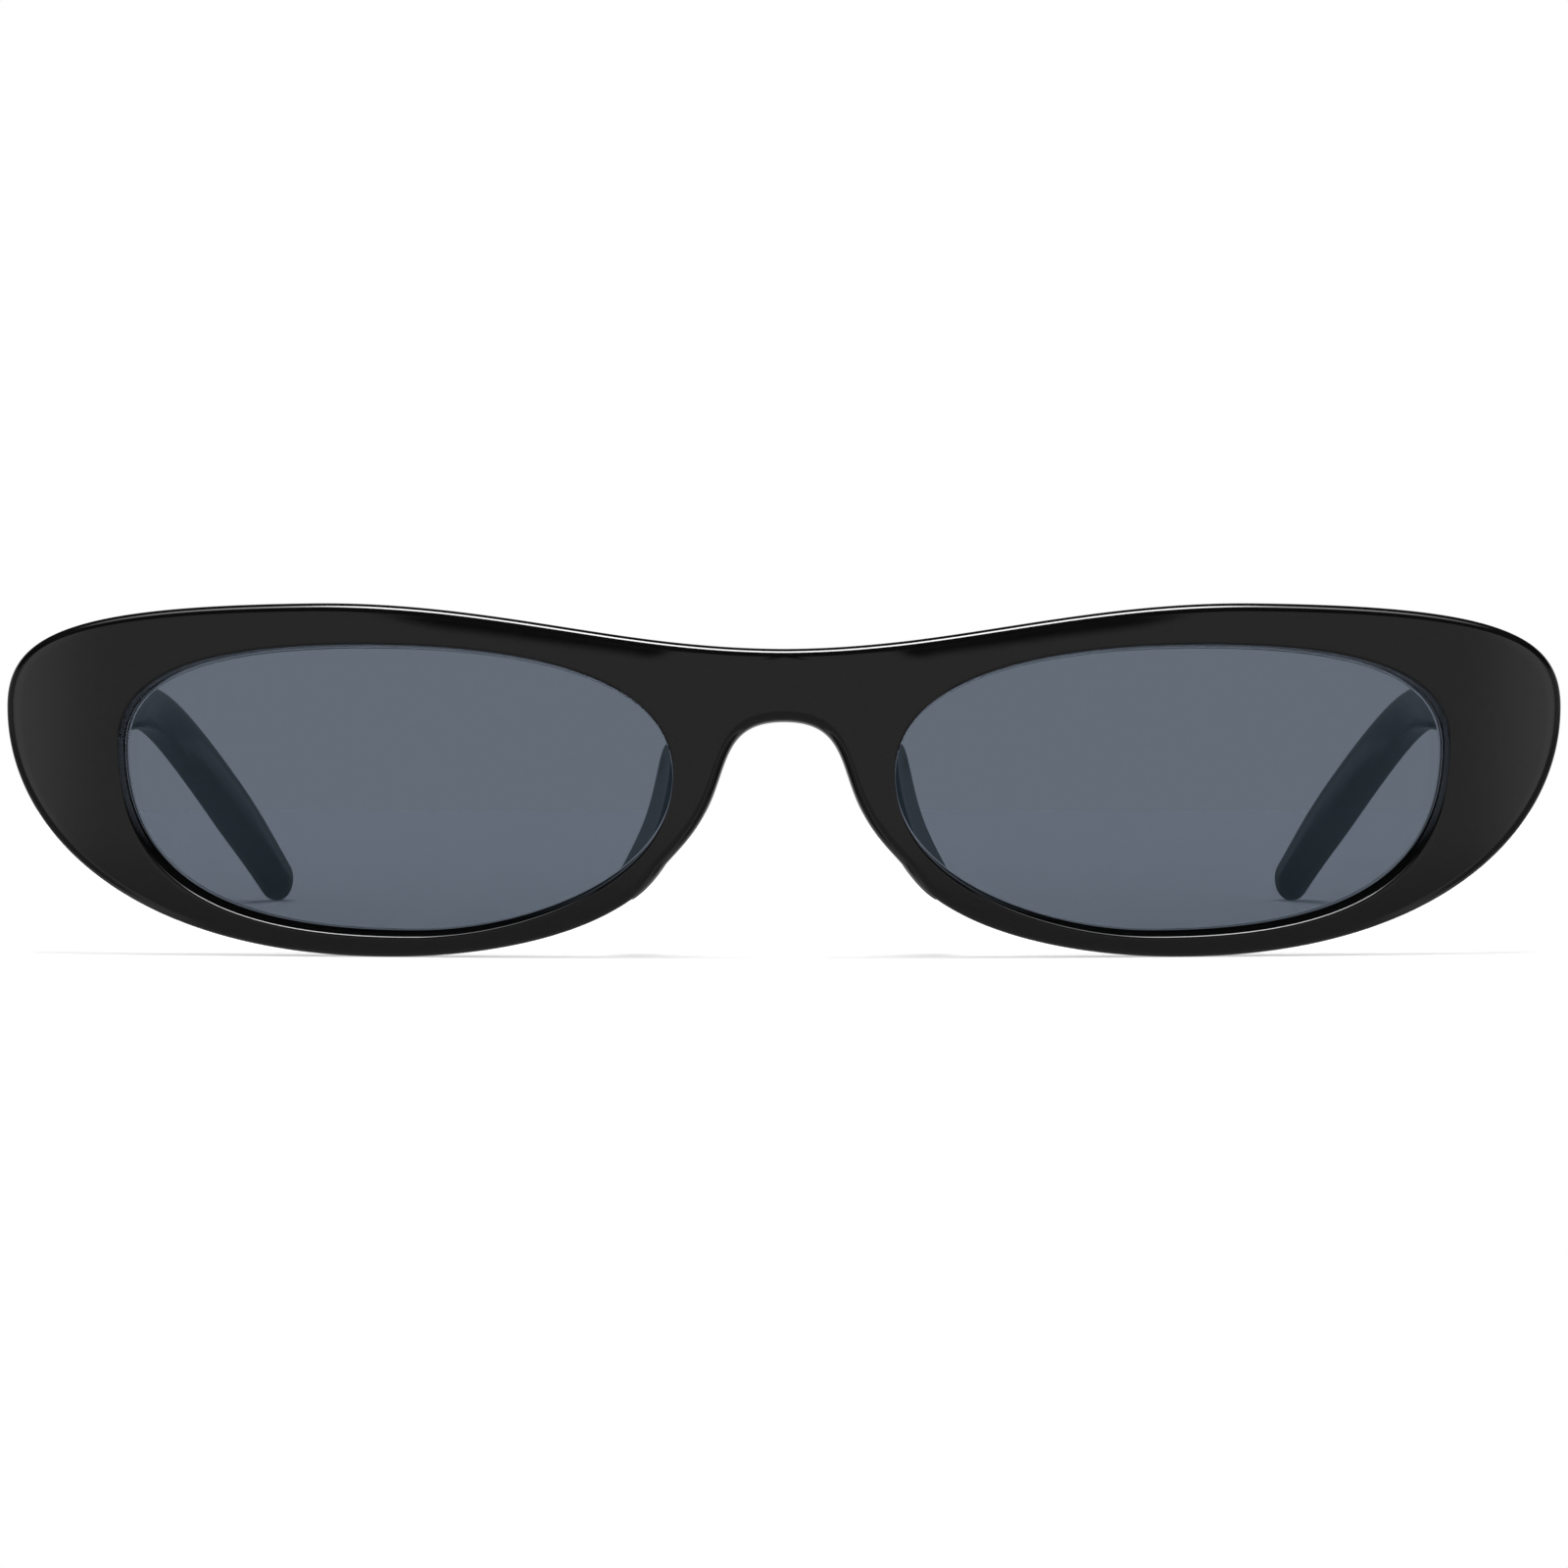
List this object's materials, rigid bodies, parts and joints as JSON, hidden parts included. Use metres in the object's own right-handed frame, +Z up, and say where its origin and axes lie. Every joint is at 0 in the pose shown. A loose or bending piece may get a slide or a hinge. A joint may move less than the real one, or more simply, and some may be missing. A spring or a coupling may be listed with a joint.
{
  "type": "sunglasses",
  "caption": "Slim black oval cat-eye sunglasses with smoke lenses, nose pads and slim bent temples that fold on screw hinges.",
  "frame": {"origin": "on the resting surface, at the middle of the open glasses' box", "axes": "+X to the wearer's left across the front, +Y back along the temples, +Z up; the front faces -Y"},
  "size_m": [0.1454, 0.1372, 0.0328],
  "materials": {
    "frame_black": "polished black acetate",
    "temple_black": "polished black acetate",
    "lens_smoke": "see-through smoke grey tint, polished on both faces",
    "hinge_metal": "nickel silver, barrel finished",
    "screw_steel": "turned stainless steel",
    "core_wire": "drawn wire"
  },
  "bodies": {
    "front": {"frame_front": "frame_black", "lens_left": "lens_smoke", "lens_right": "lens_smoke", "nose_pad_left": "frame_black", "nose_pad_right": "frame_black", "front_hinge_leaf_left": "hinge_metal", "front_hinge_leaf_right": "hinge_metal", "front_leaf_screws_left": "screw_steel", "front_leaf_screws_right": "screw_steel", "hinge_screw_left": "screw_steel", "hinge_screw_right": "screw_steel"},
    "temple_l": {"temple_left": "temple_black", "temple_core_left": "core_wire", "temple_hinge_leaf_left": "hinge_metal", "temple_leaf_screws_left": "screw_steel"},
    "temple_r": {"temple_right": "temple_black", "temple_core_right": "core_wire", "temple_hinge_leaf_right": "hinge_metal", "temple_leaf_screws_right": "screw_steel"}
  },
  "joints": [
    {"name": "left_temple_fold", "type": "hinge", "parent": "front", "child": "temple_l", "pos_m": [0.06605, -0.05302, 0.02162], "axis": [0, 0.0698, 0.9976], "range_deg": [0, 85]},
    {"name": "right_temple_fold", "type": "hinge", "parent": "front", "child": "temple_r", "pos_m": [-0.06605, -0.05302, 0.02162], "axis": [0, -0.0698, -0.9976], "range_deg": [0, 77]}
  ]
}
